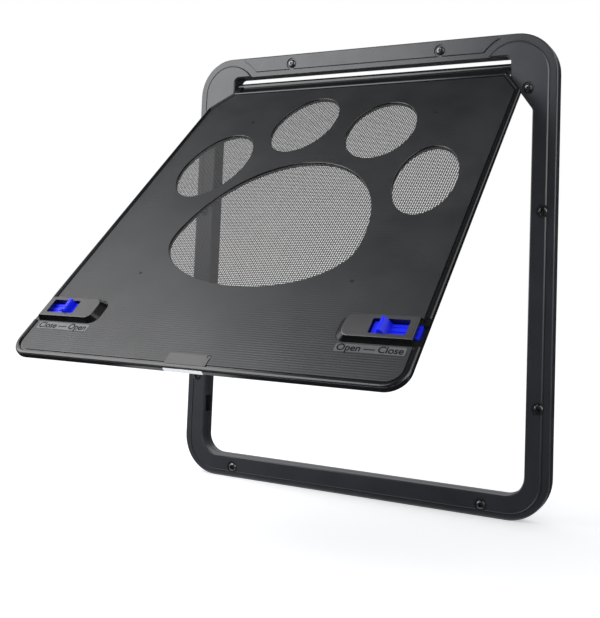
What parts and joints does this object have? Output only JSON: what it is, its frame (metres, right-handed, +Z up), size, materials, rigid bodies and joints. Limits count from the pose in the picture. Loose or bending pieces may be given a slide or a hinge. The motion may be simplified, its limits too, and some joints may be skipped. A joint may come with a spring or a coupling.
{
  "type": "pet door",
  "caption": "Two-way screen pet door: a frame clamped round a fly screen carries a hinged flap with paw-shaped mesh windows, magnetic closure and sliding latches.",
  "frame": {"origin": "middle of the frame's outline, in the plane of the fly screen that the two frame halves clamp", "axes": "+X to the right seen from the front, +Y through the doorway from front to back, +Z up; the flap is stored open to the front"},
  "size_m": [0.372, 0.274, 0.42],
  "materials": {
    "frame_plastic": "satin moulded",
    "flap_plastic": "fine lined moulded texture",
    "cover_plastic": "smooth satin",
    "blue_plastic": "semi gloss",
    "screen_mesh": "woven coated fibreglass",
    "black_screws": "black oxide",
    "magnet_metal": "nickel plated",
    "pin_steel": "bright drawn"
  },
  "bodies": {
    "frame": {"front_frame": "frame_plastic", "rear_frame": "frame_plastic", "frame_screws": "black_screws", "frame_magnet": "magnet_metal"},
    "flap": {"flap_front": "flap_plastic", "flap_back": "flap_plastic", "flap_mesh": "screen_mesh", "flap_magnet": "magnet_metal", "magnet_cover": "cover_plastic", "hinge_pin_right": "pin_steel", "hinge_pin_left": "pin_steel", "latch_cover_right": "cover_plastic", "latch_cover_left": "cover_plastic"},
    "right_latch": {"latch_slider_right": "blue_plastic"},
    "left_latch": {"latch_slider_left": "blue_plastic"}
  },
  "joints": [
    {"name": "flap_swing", "type": "hinge", "parent": "frame", "child": "flap", "pos_m": [0, 0, 0.1807], "axis": [1, 0, 0], "range_deg": [-39, 131]},
    {"name": "right_latch_slide", "type": "slide", "parent": "flap", "child": "right_latch", "axis": [1, 0, 0], "range_m": [0, 0.012]},
    {"name": "left_latch_slide", "type": "slide", "parent": "flap", "child": "left_latch", "axis": [-1, 0, 0], "range_m": [0, 0.012]}
  ]
}
